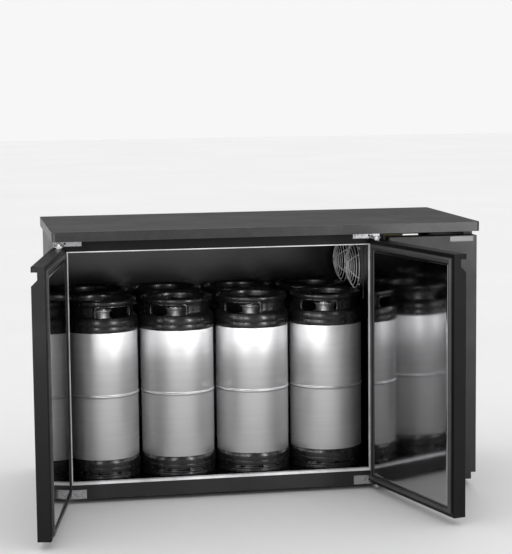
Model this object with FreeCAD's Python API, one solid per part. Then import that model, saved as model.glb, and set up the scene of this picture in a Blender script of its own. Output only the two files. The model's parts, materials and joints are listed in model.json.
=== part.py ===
import FreeCAD, Part
import math
import os

# Under-counter keg cooler: an insulated cabinet with two hinged doors, a machine
# bay on its right and eight small kegs on its floor. Millimetres, +Z up, +X to the
# right, the doors face -Y. The origin is the middle of the worktop's footprint on
# the floor, which is also where the centre support foot stands.

# ---- driving dimensions ----
worktop_width = 1376.0
worktop_depth = 620.0
total_height = 875.0
worktop_thickness = 31.0
worktop_corner_radius = 10.0
worktop_edge_radius = 1.5
worktop_return = 32.0      # width of the flange folded in under the board
side_overhang = 8.0
front_overhang = 5.0
back_overhang = 10.0
sheet = 1.2

door_thickness = 40.0
door_gap = 12.0            # body front to a closed door's inner face
door_split_gap = 4.5       # between the two closed doors
door_bottom = 24.0
door_top_gap = 23.0        # door top to the worktop's underside
door_rest_left = 100.2     # degrees open at rest
door_rest_right = 104.4
hinge_inset = 16.0         # pivot to the door's hinge edge
hinge_depth_share = 0.375  # pivot to the door's inner face, of the door's thickness
swing_clearance = 5.3      # the turning hinge corner to the machine cover
lip_thickness = 4.0
lip_height = 16.0
grip_depth = 18.0
grip_height = 22.0
gasket_depth = 9.0
gasket_inset = 12.0
gasket_width = 18.0
panel_sheet = 1.5
panel_raise = 4.0
panel_margin = 34.0

pin_radius = 3.5
bush_radius = 5.5
bush_length = 20.0
running_clearance = 0.05
bracket_sheet = 3.0
bracket_reach = 72.0
bracket_heel = 16.0
washer_gap = 0.3

ground_gap = 15.0
rail_height = 46.5
rail_sheet = 2.0
base_skirt = 20.0
sill_lift = 8.0
floor_lift = 4.0           # interior floor above the front rail
header_height = 36.5
frame_depth = 15.0
frame_cover = 12.0         # how far the front frame covers the interior's sides
wall = 30.0
back_wall = 32.0
liner_sheet = 1.0
machine_bay_width = 298.0

keg_radius = 118.0
keg_band = 5.0             # how far the rubber bands stand out past the steel
keg_steel_top = 482.5
keg_neck_radius = 30.0
keg_bore_radius = 24.0
hand_hole_share = 0.483    # half the hand hole's width, of the keg's radius
keg_row_gap = 2.0          # between the front row's bands and the rear row's
keg_back_gap = 6.0
keg_left_gap = 2.6
keg_right_gap = 9.2
keg_columns = 4
hole_angles_front = [19.0, -24.0, -28.0, -25.0]   # hand holes, degrees from -Y
hole_angles_rear = [12.0, -8.0, 20.0, -30.0]

fan_radius = 70.0
fan_hole_radius = 75.0
guard_radius = 80.0
guard_height = 28.0
guard_wire = 1.4
guard_rings = 5
guard_button = 7.0
guard_lug = 4.0
fan_pitch = 175.0
pocket_depth = 110.0
pocket_height = 184.0
fan_motor_radius, fan_motor_length = 24.0, 26.0
fan_shaft_radius, fan_hub_radius, fan_length = 3.0, 18.0, 24.0

coil_size = 240.0          # condenser coil, square
coil_depth = 36.0
coil_tube_radius = 4.0
cond_fan_radius = 104.0
cond_motor_radius, cond_motor_length = 34.0, 44.0
cond_shaft_radius, cond_hub_radius = 4.0, 22.0
compressor_radius = 78.0
compressor_height = 174.0

foot_inset = 90.0
foot_radius = 20.0
stem_radius = 5.0
foot_nut_gap = 1.0         # corner foot's nut to the boss over it

# ---- places worked out from them ----
V = FreeCAD.Vector
Z = V(0, 0, 1)
body_top = total_height - worktop_thickness
body_right = worktop_width / 2 - side_overhang
body_left = -body_right
body_front = -worktop_depth / 2 + front_overhang + door_thickness + door_gap
body_back = worktop_depth / 2 - back_overhang
door_face = body_front - door_gap - door_thickness
door_top = body_top - door_top_gap
sill = ground_gap + rail_height
interior_floor = sill + floor_lift
interior_top = body_top - header_height
interior_left = body_left + wall
bay_left = body_right - machine_bay_width
interior_right = bay_left - wall
interior_back = body_back - back_wall
shell_front = body_front + frame_depth
open_left = interior_left + frame_cover - 2
open_right = interior_right - frame_cover
base_top = ground_gap + base_skirt
cover_left = interior_right + 36.0
hinge_depth = door_thickness * hinge_depth_share
swing_gap = math.hypot(hinge_inset, door_thickness - hinge_depth) - hinge_inset + swing_clearance
right_hinge_edge = cover_left - swing_gap
left_hinge_edge = body_left
door_width = (right_hinge_edge - left_hinge_edge - door_split_gap) / 2
pivot_y = body_front - door_gap - hinge_depth
left_pivot = V(left_hinge_edge + hinge_inset, pivot_y, 0)
right_pivot = V(right_hinge_edge - hinge_inset, pivot_y, 0)

keg_band_radius = keg_radius + keg_band
keg_x0 = interior_left + keg_left_gap + keg_band_radius
keg_pitch_x = (interior_right - keg_right_gap - keg_band_radius - keg_x0) / (keg_columns - 1)
keg_y_rear = interior_back - keg_back_gap - keg_band_radius
keg_y_front = keg_y_rear - 2 * keg_band_radius - keg_row_gap

pocket_top = interior_top - 7.5
pocket_bottom = pocket_top - pocket_height
fan_z = (pocket_top + pocket_bottom) / 2
rear_fan_y = interior_back - guard_radius - 8.0
front_fan_y = rear_fan_y - fan_pitch
pocket_front = front_fan_y - guard_radius - 17.0
pocket_back = interior_back - 8.0
pocket_right = interior_right + pocket_depth


# ---- helpers ----
def block(x0, x1, y0, y1, z0, z1):
    return Part.makeBox(x1 - x0, y1 - y0, z1 - z0, V(x0, y0, z0))


def rod(radius, start, direction, length):
    return Part.makeCylinder(radius, length, start, direction)


def fused(shapes):
    whole = shapes[0].multiFuse(shapes[1:]) if len(shapes) > 1 else shapes[0]
    return whole.removeSplitter()


def turned(points, centre):
    """A solid turned about a vertical axis, from (radius, height) points."""
    outline = [V(r, 0, z) for r, z in points]
    face = Part.Face(Part.makePolygon(outline + outline[:1]))
    solid = face.revolve(V(0, 0, 0), Z, 360)
    solid.translate(centre)
    return solid


def prism(points, x0, x1):
    """A solid along X, from (y, z) points."""
    outline = [V(x0, y, z) for y, z in points]
    return Part.Face(Part.makePolygon(outline + outline[:1])).extrude(V(x1 - x0, 0, 0))


def edges_along(shape, direction, least=0.0):
    found = []
    for edge in shape.Edges:
        if len(edge.Vertexes) == 2 and edge.Length > least:
            run = edge.Vertexes[1].Point - edge.Vertexes[0].Point
            if run.Length > 1e-6 and run.getAngle(direction) % math.pi < 1e-4:
                found.append(edge)
    return found


def rounded_block(x0, x1, y0, y1, z0, z1, radius, direction):
    solid = block(x0, x1, y0, y1, z0, z1)
    return solid.makeFillet(radius, edges_along(solid, direction))


def tube(points, bend, radius):
    """A pipe of straight runs joined by tangent arcs."""
    edges = []
    start = points[0]
    for before, corner, after in zip(points, points[1:], points[2:]):
        into = (corner - before).normalize()
        out = (after - corner).normalize()
        reach = bend * math.tan(into.getAngle(out) / 2)
        arc_start = corner - into * reach
        arc_end = corner + out * reach
        inward = (out - into).normalize()
        centre = corner + inward * (bend / math.cos(into.getAngle(out) / 2))
        edges.append(Part.LineSegment(start, arc_start).toShape())
        edges.append(Part.Arc(arc_start, centre - inward * bend, arc_end).toShape())
        start = arc_end
    edges.append(Part.LineSegment(start, points[-1]).toShape())
    end_ring = Part.Wire(Part.makeCircle(radius, points[0], points[1] - points[0]))
    return Part.Wire(edges).makePipeShell([end_ring], True, False)


def save(name, shape):
    solids = shape if isinstance(shape, list) else [shape]
    closed = [piece for item in solids for piece in item.Solids]
    whole = closed[0] if len(closed) == 1 else Part.makeCompound(closed)
    whole.exportStep("parts/" + name + ".step")


# ---- cabinet ----
def worktop():
    slab = block(-worktop_width / 2, worktop_width / 2, -worktop_depth / 2, worktop_depth / 2,
                 body_top, total_height)
    slab = slab.makeFillet(worktop_corner_radius, edges_along(slab, Z))
    rim = [e for e in slab.Edges if min(v.Z for v in e.Vertexes) > total_height - 0.01]
    slab = slab.makeFillet(worktop_edge_radius, rim)
    x, y = worktop_width / 2 - worktop_return, worktop_depth / 2 - worktop_return
    return slab.cut(worktop_board()).cut(block(-x, x, -y, y, body_top - 1, body_top + 2 * sheet))


def worktop_board():
    """The board inside the folded worktop."""
    x, y = worktop_width / 2 - sheet, worktop_depth / 2 - sheet
    return rounded_block(-x, x, -y, y, body_top + sheet, total_height - sheet,
                         worktop_corner_radius - sheet, Z)


def side_panel(side):
    outer = body_right * side
    inner = (body_right - sheet) * side
    x0, x1 = sorted([outer, inner])
    skin = block(x0, x1, body_front, body_back, ground_gap, body_top)
    f0, f1 = sorted([outer, (body_right - 28.0) * side])
    flange = block(f0, f1, body_front, body_front + sheet, sill, body_top)
    return fused([skin, flange])


def back_panel():
    return block(body_left + sheet, bay_left, body_back - sheet, body_back, ground_gap, body_top)


def front_frame():
    back_part = block(body_left + sheet, bay_left, body_front + sheet, shell_front, sill, body_top)
    face_part = block(body_left + 28.0, bay_left, body_front, body_front + sheet, sill, body_top)
    hole = block(open_left, open_right, body_front - 1, shell_front + 1, sill - 1, interior_top)
    return fused([back_part, face_part]).cut(hole)


def opening_trim():
    ring = block(open_left, open_right, body_front - 1.5, shell_front, sill, interior_top)
    hole = block(open_left + 5, open_right - 5, body_front - 5, shell_front + 1,
                 sill + sill_lift, interior_top - 3)
    return ring.cut(hole)


def foot_places():
    x = body_right - foot_inset + 30.0
    return {
        "foot_front_left": V(-x, body_front + foot_inset, 0),
        "foot_front_right": V(x, body_front + foot_inset, 0),
        "foot_back_left": V(-x, body_back - foot_inset, 0),
        "foot_back_right": V(x, body_back - foot_inset, 0),
    }


def base_frame():
    left, right = body_left + sheet, body_right - sheet
    back = body_back - sheet
    deck = block(left, right, shell_front, back, base_top - rail_sheet, base_top)
    pieces = [deck]
    pieces.append(block(left, right, body_front, body_front + rail_sheet, ground_gap, sill))
    pieces.append(block(left, right, body_front, shell_front, sill - rail_sheet, sill))
    pieces.append(block(left, right, body_front, shell_front + 15, ground_gap, ground_gap + rail_sheet))
    pieces.append(block(left, right, shell_front - rail_sheet, shell_front, ground_gap, base_top))
    pieces.append(block(left, right, back - rail_sheet, back, ground_gap, base_top))
    for x in (left, right - rail_sheet):
        pieces.append(block(x, x + rail_sheet, body_front, back, ground_gap, base_top))
    for x in (interior_left + 300.0, bay_left):
        pieces.append(block(x - 20, x + 20, shell_front, back, ground_gap, ground_gap + rail_sheet))
        for rib in (x - 20, x + 20 - rail_sheet):
            pieces.append(block(rib, rib + rail_sheet, shell_front, back, ground_gap, base_top))
    bosses = [*foot_places().values(), V(0, 0, 0)]
    for place in bosses:
        pieces.append(rod(12.0, V(place.x, place.y, ground_gap), Z, base_skirt))
    frame = fused(pieces)
    for place in bosses:
        hole = rod(stem_radius + running_clearance, V(place.x, place.y, 0), Z, base_top + 1)
        frame = frame.cut(hole)
    return frame


def foot(place, nut_top):
    pad = [(0, 0), (foot_radius, 0), (foot_radius, 4), (foot_radius - 5, 8), (0, 8)]
    stem = rod(stem_radius, V(0, 0, 7), Z, base_top - 3 - 7)
    nut = Part.Face(Part.makePolygon([V(10 * math.cos(a), 10 * math.sin(a), 8) for a in
                                      [i * math.pi / 3 for i in range(7)]])).extrude(V(0, 0, nut_top - 8))
    whole = fused([turned(pad, V(0, 0, 0)), stem, nut])
    whole.translate(place)
    return whole


def cavity(grow):
    main = block(interior_left - grow, interior_right + grow, shell_front - 1, interior_back + grow,
                 interior_floor - grow, interior_top + grow)
    pocket = block(interior_right - 1, pocket_right + grow, pocket_front - grow, pocket_back + grow,
                   pocket_bottom - grow, pocket_top + grow)
    return fused([main, pocket])


def insulation_foam():
    main = block(body_left + sheet, bay_left, shell_front, body_back - sheet, base_top, body_top)
    hump = block(bay_left - 1, pocket_right + 22, pocket_front - 22, pocket_back + 14,
                 pocket_bottom - 22, pocket_top + 22)
    return fused([main, hump]).cut(cavity(liner_sheet))


def inner_liner():
    front = block(body_left, body_right, shell_front - 2, shell_front, ground_gap, body_top)
    return cavity(liner_sheet).cut(front).cut(cavity(0))


def machine_cover():
    x0, x1, y0, z0, z1 = cover_left, body_right, door_face, ground_gap + 35, body_top - 14
    outer = block(x0, x1, y0, body_front, z0, z1)
    outer = outer.makeFillet(3.0, [e for e in edges_along(outer, Z) if e.Vertexes[0].Y < y0 + 1])
    inner = block(x0 + 1.5, x1 - 1.5, y0 + 1.5, body_front + 1, z0 + 1.5, z1 - 1.5)
    return outer.cut(inner)


def nameplate():
    right, top = body_right - 13.0, body_top - 16.0
    return rounded_block(right - 77, right, door_face - 1.2, door_face, top - 16, top, 2.0, V(0, 1, 0))


def bay_louvres(low, high):
    cuts = []
    z = low
    while z < high:
        for x in (bay_left + 25, bay_left + 160):
            cuts.append(block(x, x + 110, body_back - 5, body_back + 5, z, z + 5))
        z += 14.0
    return cuts


inlet_x, inlet_z = bay_left + 240.0, base_top + 380.0


def rear_grille():
    plate = block(bay_left, body_right - sheet, body_back - sheet, body_back, base_top, body_top)
    hole = block(inlet_x - 20, inlet_x + 20, body_back - 5, body_back + 5, inlet_z - 12, inlet_z + 12)
    return plate.cut(Part.makeCompound(bay_louvres(base_top + 30, base_top + 265)
                                       + bay_louvres(base_top + 560, body_top - 60) + [hole]))


def power_inlet():
    flange = rounded_block(inlet_x - 26, inlet_x + 26, body_back, body_back + 3,
                           inlet_z - 16, inlet_z + 16, 3.0, V(0, 1, 0))
    socket = block(inlet_x - 20, inlet_x + 20, body_back - 26, body_back + 1, inlet_z - 12, inlet_z + 12)
    recess = block(inlet_x - 13, inlet_x + 13, body_back - 18, body_back + 5, inlet_z - 8, inlet_z + 8)
    whole = fused([flange, socket]).cut(recess)
    pins = [block(inlet_x + dx - 1, inlet_x + dx + 1, body_back - 20, body_back - 4,
                  inlet_z + dz - 2.5, inlet_z + dz + 2.5) for dx, dz in ((-7, -2), (0, 2), (7, -2))]
    return fused([whole] + pins)


# ---- hinges ----
def bracket(pivot, inward, plate_low, flange_low, flange_high):
    heel, reach = pivot.x - inward * bracket_heel, pivot.x + inward * bracket_reach
    x0, x1 = sorted([heel, reach])
    face = body_front - rail_sheet
    flange = block(x0, x1, face, body_front, flange_low, flange_high)
    tongue = block(pivot.x - bracket_heel, pivot.x + bracket_heel, pivot.y, face + 0.5,
                   plate_low, plate_low + bracket_sheet)
    nose = rod(bracket_heel, V(pivot.x, pivot.y, plate_low), Z, bracket_sheet)
    eye = rod(pin_radius, V(pivot.x, pivot.y, plate_low - 1), Z, bracket_sheet + 2)
    plate = fused([flange, tongue, nose]).cut(eye)
    middle = (flange_low + flange_high) / 2
    spare = rod(3.5, V(pivot.x + inward * 20, face - 1, middle), V(0, 1, 0), rail_sheet + 2)
    return plate.cut(spare)


top_plate = door_top + 5.0
bottom_plate = door_bottom - 4.0 - bracket_sheet
hinges = [(left_pivot, 1), (right_pivot, -1)]


def hinge_brackets():
    made = []
    for pivot, inward in hinges:
        made.append(bracket(pivot, inward, top_plate, door_top + 4, body_top - 1))
        made.append(bracket(pivot, inward, bottom_plate, bottom_plate, sill - 15.5))
    return made


def hinge_pins():
    made = []
    for pivot, _ in hinges:
        low = door_top - bush_length + 2
        pin = rod(pin_radius, V(pivot.x, pivot.y, low), Z, top_plate + bracket_sheet + 7 - low)
        head = rod(7.5, V(pivot.x, pivot.y, top_plate + bracket_sheet), Z, 5.0)
        made.append(fused([pin, head]))
        high = door_bottom + bush_length - 2
        pin = rod(pin_radius, V(pivot.x, pivot.y, bottom_plate - 8), Z, high - bottom_plate + 8)
        head = rod(7.5, V(pivot.x, pivot.y, bottom_plate - 6), Z, 6.0)
        made.append(fused([pin, head]))
    return made


def case_screws():
    places = []
    face = body_front - rail_sheet
    for pivot, inward in hinges:
        for low, high in ((door_top + 4, body_top - 1), (bottom_plate, sill - 15.5)):
            for along in (40.0, 62.0):
                places.append((V(pivot.x + inward * along, face, (low + high) / 2), V(0, -1, 0)))
    for x in (body_left + 12, bay_left - 12, bay_left + 12, body_right - 13):
        for z in (base_top + 20, (base_top + body_top) / 2, body_top - 20):
            places.append((V(x, body_back, z), V(0, 1, 0)))
    made = []
    for place, out in places:
        head = rod(4.5, place, out, 2.4)
        slot = block(place.x - 6, place.x + 6, place.y - 3, place.y + 3, place.z - 0.6, place.z + 0.6)
        slot.translate(out * 4.4)
        made.append(head.cut(slot))
    return made


# ---- doors, made closed and then swung to rest ----
def door_outline(trim):
    """(y, z) points of a door's section; trim takes that much off all but the inner face."""
    inner = body_front - door_gap
    front = door_face + trim
    low, high = door_bottom + trim, door_top - trim
    back = door_face + grip_depth + trim
    ledge = door_top - lip_height - grip_height
    return [(inner, low), (front, low), (front, ledge - grip_depth), (back, ledge), (back, high), (inner, high)]


def door(side):
    inward = 1 if side == "left" else -1
    pivot = left_pivot if side == "left" else right_pivot
    turn = -door_rest_left if side == "left" else door_rest_right
    edge = left_hinge_edge if side == "left" else right_hinge_edge
    x0, x1 = sorted([edge, edge + inward * door_width])
    inner = body_front - door_gap

    outer = prism(door_outline(0), x0, x1)
    room = prism(door_outline(sheet), x0 + sheet, x1 - sheet)
    back = door_face + grip_depth
    shelf = block(x0, x1, door_face, back, door_top - lip_thickness, door_top)
    flange = block(x0, x1, door_face, door_face + lip_thickness, door_top - lip_height, door_top)
    caps = [block(x, x + lip_thickness, door_face, back, door_top - lip_height, door_top)
            for x in (x0, x1 - lip_thickness)]
    skin = fused([outer.cut(room), shelf, flange] + caps)
    core = room.copy()
    made = {}
    bushes = []
    for low, seat in ((door_top - bush_length, door_top), (door_bottom, door_bottom)):
        hole = rod(bush_radius, V(pivot.x, pivot.y, low), Z, bush_length)
        skin = skin.cut(hole)
        core = core.cut(hole)
        collar_low = seat if seat == door_top else seat - 4.0 + washer_gap
        collar_high = seat + 2.0 if seat == door_top else seat
        collar = rod(bush_radius + 2.5, V(pivot.x, pivot.y, collar_low), Z, collar_high - collar_low)
        bore = rod(pin_radius + running_clearance, V(pivot.x, pivot.y, low - 10), Z, bush_length + 20)
        bushes.append(fused([hole, collar]).cut(bore))
    made["skin"] = skin
    made["core"] = core

    rim = 2.0
    panel = block(x0 + rim, x1 - rim, inner, inner + panel_sheet, door_bottom + rim, door_top - rim)
    rise = block(x0 + panel_margin, x1 - panel_margin, inner, inner + panel_sheet + panel_raise,
                 door_bottom + panel_margin - 3, door_top - panel_margin + 3)
    far = [e for e in rise.Edges if min(v.Y for v in e.Vertexes) > inner + panel_sheet]
    made["panel"] = fused([panel, rise.makeChamfer(2.5, far)])

    def ring(inset_out, inset_in, low, high):
        solid = block(x0 + inset_out, x1 - inset_out, inner + low, inner + high,
                      door_bottom + inset_out, door_top - inset_out)
        hole = block(x0 + inset_in, x1 - inset_in, inner + low - 1, inner + high + 1,
                     door_bottom + inset_in, door_top - inset_in)
        return solid.cut(hole)

    near, far_edge = gasket_inset, gasket_inset + gasket_width
    made["gasket"] = fused([
        ring(near, far_edge, panel_sheet, panel_sheet + 2),
        ring(near + 3, near + 7, panel_sheet, gasket_depth - 3),
        ring(near + 2, near + 13, gasket_depth - 3, gasket_depth),
        ring(near + 14, near + 17, panel_sheet, gasket_depth - 4),
    ])
    made["bushes"] = bushes
    for name, shape in made.items():
        for solid in shape if isinstance(shape, list) else [shape]:
            solid.rotate(pivot, Z, turn)
        save(side + "_door_" + name, shape)


# ---- cold air unit ----
def fan(radius, hub_radius, length, shaft_radius, blades):
    """A fan turned about +X with its back face at x = 0 and blowing towards -X."""
    X = V(1, 0, 0)
    hub = rod(hub_radius, V(-length, 0, 0), X, length)
    pieces = [hub]
    chord = length * 1.25
    for i in range(blades):
        blade = block(-chord / 2, chord / 2, -0.8, 0.8, hub_radius - 2, radius)
        blade.rotate(V(0, 0, 0), Z, 38)
        blade.translate(V(-length / 2, 0, 0))
        blade.rotate(V(0, 0, 0), X, 360.0 * i / blades)
        pieces.append(blade)
    swept = rod(radius, V(-length, 0, 0), X, length)
    solid = fused(pieces).common(swept)
    return solid.cut(rod(shaft_radius + running_clearance, V(-length + 4, 0, 0), X, length))


def motor(radius, length, shaft_radius, shaft_length, arm_reach, arm_forward, arms):
    """A motor behind x = 0 with its shaft along -X and arms that reach forward."""
    X = V(1, 0, 0)
    can = rod(radius, V(0, 0, 0), X, length)
    shaft = rod(shaft_radius, V(-shaft_length, 0, 0), X, shaft_length + 1)
    pieces = [can, shaft]
    for i in range(arms):
        spoke = block(0, 4, -4, 4, radius - 3, arm_reach)
        bar = block(-arm_forward, 4, -4, 4, arm_reach - 5, arm_reach)
        for piece in (spoke, bar) if arm_forward else (spoke,):
            piece.rotate(V(0, 0, 0), X, 360.0 * i / arms)
            pieces.append(piece)
    return fused(pieces)


def placed(shape, place, turn=0.0):
    shape.rotate(V(0, 0, 0), Z, turn)
    shape.translate(place)
    return shape


def evaporator_cover():
    plate = block(interior_right - 2, interior_right, pocket_front - 8, interior_back - 2,
                  pocket_bottom - 8, pocket_top + 6)
    for y in (front_fan_y, rear_fan_y):
        plate = plate.cut(rod(fan_hole_radius, V(interior_right - 5, y, fan_z), V(1, 0, 0), 10))
    return plate


def guard(y):
    """A domed wire guard bulging towards -X: rings lie on bows that run out from a button."""
    sphere = (guard_radius ** 2 + guard_height ** 2) / (2 * guard_height)
    plate = interior_right - 2
    back = plate - 3 * guard_wire - running_clearance
    centre = V(back - guard_height + sphere, y, fan_z)
    along = V(1, 0, 0)
    bow_radius = sphere - 2 * guard_wire
    button = rod(guard_button, V(centre.x - bow_radius - guard_wire, y, fan_z), along, 2 * guard_wire)
    pieces = [button]
    for i in range(1, guard_rings + 1):
        r = guard_radius * i / guard_rings
        x = centre.x - math.sqrt(sphere ** 2 - r ** 2)
        pieces.append(Part.makeTorus(r, guard_wire, V(x, y, fan_z), along))
    first = math.degrees(math.asin((guard_button + running_clearance) / bow_radius))
    last = math.degrees(math.asin((guard_radius - 1) / bow_radius))
    for i in range(6):
        start = centre - along * bow_radius
        ring = Part.Face(Part.Wire(Part.makeCircle(guard_wire, start, V(0, 1, 0))))
        bow = ring.revolve(centre, Z, last - first)
        bow.rotate(centre, Z, first)
        bow.rotate(centre, along, 60.0 * i + 30)
        pieces.append(bow)
    for i in range(4):
        a = math.radians(45 + 90 * i)
        reach = guard_radius + guard_wire + guard_lug
        lug = V(back - guard_wire, y + reach * math.cos(a), fan_z + reach * math.sin(a))
        pieces.append(rod(guard_lug, lug, along, plate - back + guard_wire))
    return pieces


def finned_coil(length, depth, height, fins, rows, tube_radius):
    """Fins across X with tubes along X, corner at the origin."""
    pieces = []
    for i in range(fins):
        x = (length - 1.0) * i / (fins - 1)
        pieces.append(block(x, x + 1.0, 0, depth, 0, height))
    for i in range(rows):
        z = height * (i + 0.5) / rows
        pieces.append(rod(tube_radius, V(-6, depth / 2, z), V(1, 0, 0), length + 12))
    for x in (-6 - tube_radius, length + 6 - tube_radius):
        pieces.append(block(x, x + 2 * tube_radius, depth / 2 - tube_radius, depth / 2 + tube_radius,
                            height / rows / 2 - tube_radius, height - height / rows / 2 + tube_radius))
    return fused(pieces)


def evaporator_coil():
    coil = finned_coil(pocket_back - pocket_front - 36, coil_depth, pocket_height - 2, 26, 4, coil_tube_radius)
    return placed(coil, V(pocket_right - 5, pocket_front + 18, pocket_bottom), 90)


# ---- machine bay ----
bay_centre = (bay_left + body_right) / 2
compressor_y = body_front + 273.0
shroud_back = body_back - 68.0
shroud_front = shroud_back - coil_depth
coil_low = base_top + 25.0
cond_fan_z = coil_low + coil_size / 2


def compressor():
    base = base_top + 21.0
    r, high = compressor_radius, compressor_height
    dome = turned([(0, 0), (r - 28, 0), (r, 24), (r, 76), (r + 4, 76), (r + 4, 82), (r, 82), (r, high - 40),
                   (r - 26, high - 8), (0, high)], V(bay_centre, compressor_y, base))
    plate = block(bay_centre - 95, bay_centre + 95, compressor_y - 62, compressor_y + 62, base - 4, base + 3)
    box = block(bay_centre - 26, bay_centre + 26, compressor_y - 108, compressor_y - 74, base + 30, base + 92)
    pieces = [dome, plate, box]
    for dx in (-80, 80):
        for dy in (-48, 48):
            pieces.append(rod(12, V(bay_centre + dx, compressor_y + dy, base_top), Z, 18))
    return fused(pieces)


def condenser_coil():
    return placed(finned_coil(coil_size, coil_depth, coil_size, 24, 6, coil_tube_radius),
                  V(bay_centre - coil_size / 2, shroud_back, coil_low))


def condenser_shroud():
    half = coil_size / 2 + 4
    outer = block(bay_centre - half, bay_centre + half, shroud_front, shroud_back, base_top, coil_low + coil_size + 4)
    room = block(bay_centre - half + 2, bay_centre + half - 2, shroud_front + 2, shroud_back + 1,
                 coil_low - 4, coil_low + coil_size + 2)
    below = block(bay_centre - half + 2, bay_centre + half - 2, shroud_front + 2, shroud_back + 1,
                  base_top - 1, coil_low - 6)
    mouth = rod(cond_fan_radius + 6, V(bay_centre, shroud_front - 1, cond_fan_z), V(0, 1, 0), 4)
    lip = block(bay_centre - half + 20, bay_centre + half - 20, shroud_back - 2, shroud_back, coil_low - 6, coil_low)
    return fused([outer.cut(room).cut(below).cut(mouth), lip])


def condenser_fan():
    unit = fan(cond_fan_radius, cond_hub_radius, fan_length, cond_shaft_radius, 5)
    return placed(unit, V(bay_centre, shroud_front + 4, cond_fan_z), -90)


def fan_motors():
    made = []
    for y in (front_fan_y, rear_fan_y):
        unit = motor(fan_motor_radius, fan_motor_length, fan_shaft_radius, fan_length - 2, guard_radius + 5, 40.0, 3)
        made.append(placed(unit, V(interior_right + 40, y, fan_z)))
    unit = motor(cond_motor_radius, cond_motor_length, cond_shaft_radius, fan_length - 2, cond_fan_radius + 12, 0, 3)
    made.append(placed(unit, V(bay_centre, shroud_front, cond_fan_z), -90))
    return made


def evaporator_fan(y):
    unit = fan(fan_radius, fan_hub_radius, fan_length, fan_shaft_radius, 5)
    return placed(unit, V(interior_right + 36, y, fan_z))


drier_place = V(bay_left + 12.5, shroud_back + 18.0, base_top + 295.0)


def filter_drier():
    return turned([(0, 0), (5, 0), (11, 12), (11, 88), (5, 100), (0, 100)], drier_place)


def refrigerant_pipes():
    left_side, right_side = bay_left + 43.0, body_right - 15.0
    y, z = compressor_y, base_top + 115.0
    under_hump = pocket_bottom - 22
    coil_left, coil_right = bay_centre - coil_size / 2 - 10, bay_centre + coil_size / 2 + 10
    mid = shroud_back + 18.0
    suction = tube([V(bay_centre - compressor_radius + 0.1, y, z), V(left_side, y, z), V(left_side, y, under_hump)], 12, 4)
    discharge = tube([V(bay_centre + compressor_radius - 0.1, y, z), V(right_side, y, z), V(right_side, mid, z),
                      V(coil_right, mid, z)], 6, 3)
    liquid = tube([V(coil_left, mid, base_top + 45), V(drier_place.x, mid, base_top + 45), drier_place], 5, 3)
    top = drier_place + V(0, 0, 100)
    capillary = rod(2.5, top, Z, under_hump - top.z)
    return [suction, discharge, liquid, capillary, filter_drier()]


def drain_pan():
    x0, x1 = bay_centre - 110, bay_centre + 110
    y0, y1 = shell_front + 45.0, shell_front + 130.0
    outer = rounded_block(x0, x1, y0, y1, base_top, base_top + 26, 10.0, Z)
    inner = rounded_block(x0 + 2, x1 - 2, y0 + 2, y1 - 2, base_top + 2, base_top + 30, 8.0, Z)
    return outer.cut(inner)


def control_box():
    x1 = body_right - sheet
    y0, z0 = shell_front + 70.0, base_top + 520.0
    box = block(x1 - 70, x1, y0, y0 + 120, z0, z0 + 180)
    lid = block(x1 - 76, x1 - 70, y0 - 3, y0 + 123, z0 - 3, z0 + 183)
    return fused([box, lid.makeChamfer(2.0, [e for e in lid.Edges if max(v.X for v in e.Vertexes) < x1 - 75])])


# ---- kegs ----
def keg_dome(radius):
    """Height of the steel end above its rim, on its inner slope."""
    slope_start = keg_radius - 48
    run = (slope_start - radius) / (slope_start - keg_bore_radius)
    return 19.0 + 9.2 * run


def keg_shell():
    top, r, bore = keg_steel_top, keg_radius, keg_bore_radius
    bead = (50 + top) / 2
    outside = [(0, 18), (r - 23, 26), (r - 8, 36), (r, 50), (r, bead), (r + 2.5, bead + 3.5), (r + 2.5, bead + 7),
               (r, bead + 10.5), (r, top), (r - 10, top + 8), (r - 20, top + 8), (r - 48, top + 19),
               (bore, top + keg_dome(bore))]
    inside = [(bore, top + keg_dome(bore) - 2), (r - 50, top + 17), (r - 21, top + 6), (r - 12, top + 6),
              (r - 2, top - 2), (r - 2, 51), (r - 9, 38), (r - 24, 28), (0, 20)]
    return turned(outside + inside, V(0, 0, 0))


def keg_neck():
    top, bore, neck = keg_steel_top, keg_bore_radius, keg_neck_radius
    return turned([(bore, top + keg_dome(bore)), (neck, top + keg_dome(neck)), (neck, top + 48), (neck + 6, top + 50),
                   (neck + 6, top + 56), (bore, top + 56)], V(0, 0, 0))


def keg_valve():
    top, bore, lip = keg_steel_top, keg_bore_radius, keg_neck_radius + 6
    return turned([(0, top + 34), (bore - 2, top + 34), (bore, top + 44), (bore, top + 56), (lip, top + 56),
                   (lip, top + 59), (bore - 4, top + 61), (bore - 4, top + 50), (bore - 12, top + 50),
                   (bore - 12, top + 54), (0, top + 54)], V(0, 0, 0))


def keg_foot():
    r, band = keg_radius, keg_band_radius
    return turned([(r - 19, 0), (r + 1, 0), (r + 2.5, 3), (r + 2.5, 20), (r - 2.5, 22), (r - 2.5, 26), (band, 28),
                   (band, 56), (r + 1.5, 66), (r, 66), (r, 50), (r - 8, 36), (r - 23, 26)], V(0, 0, 0))


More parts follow.
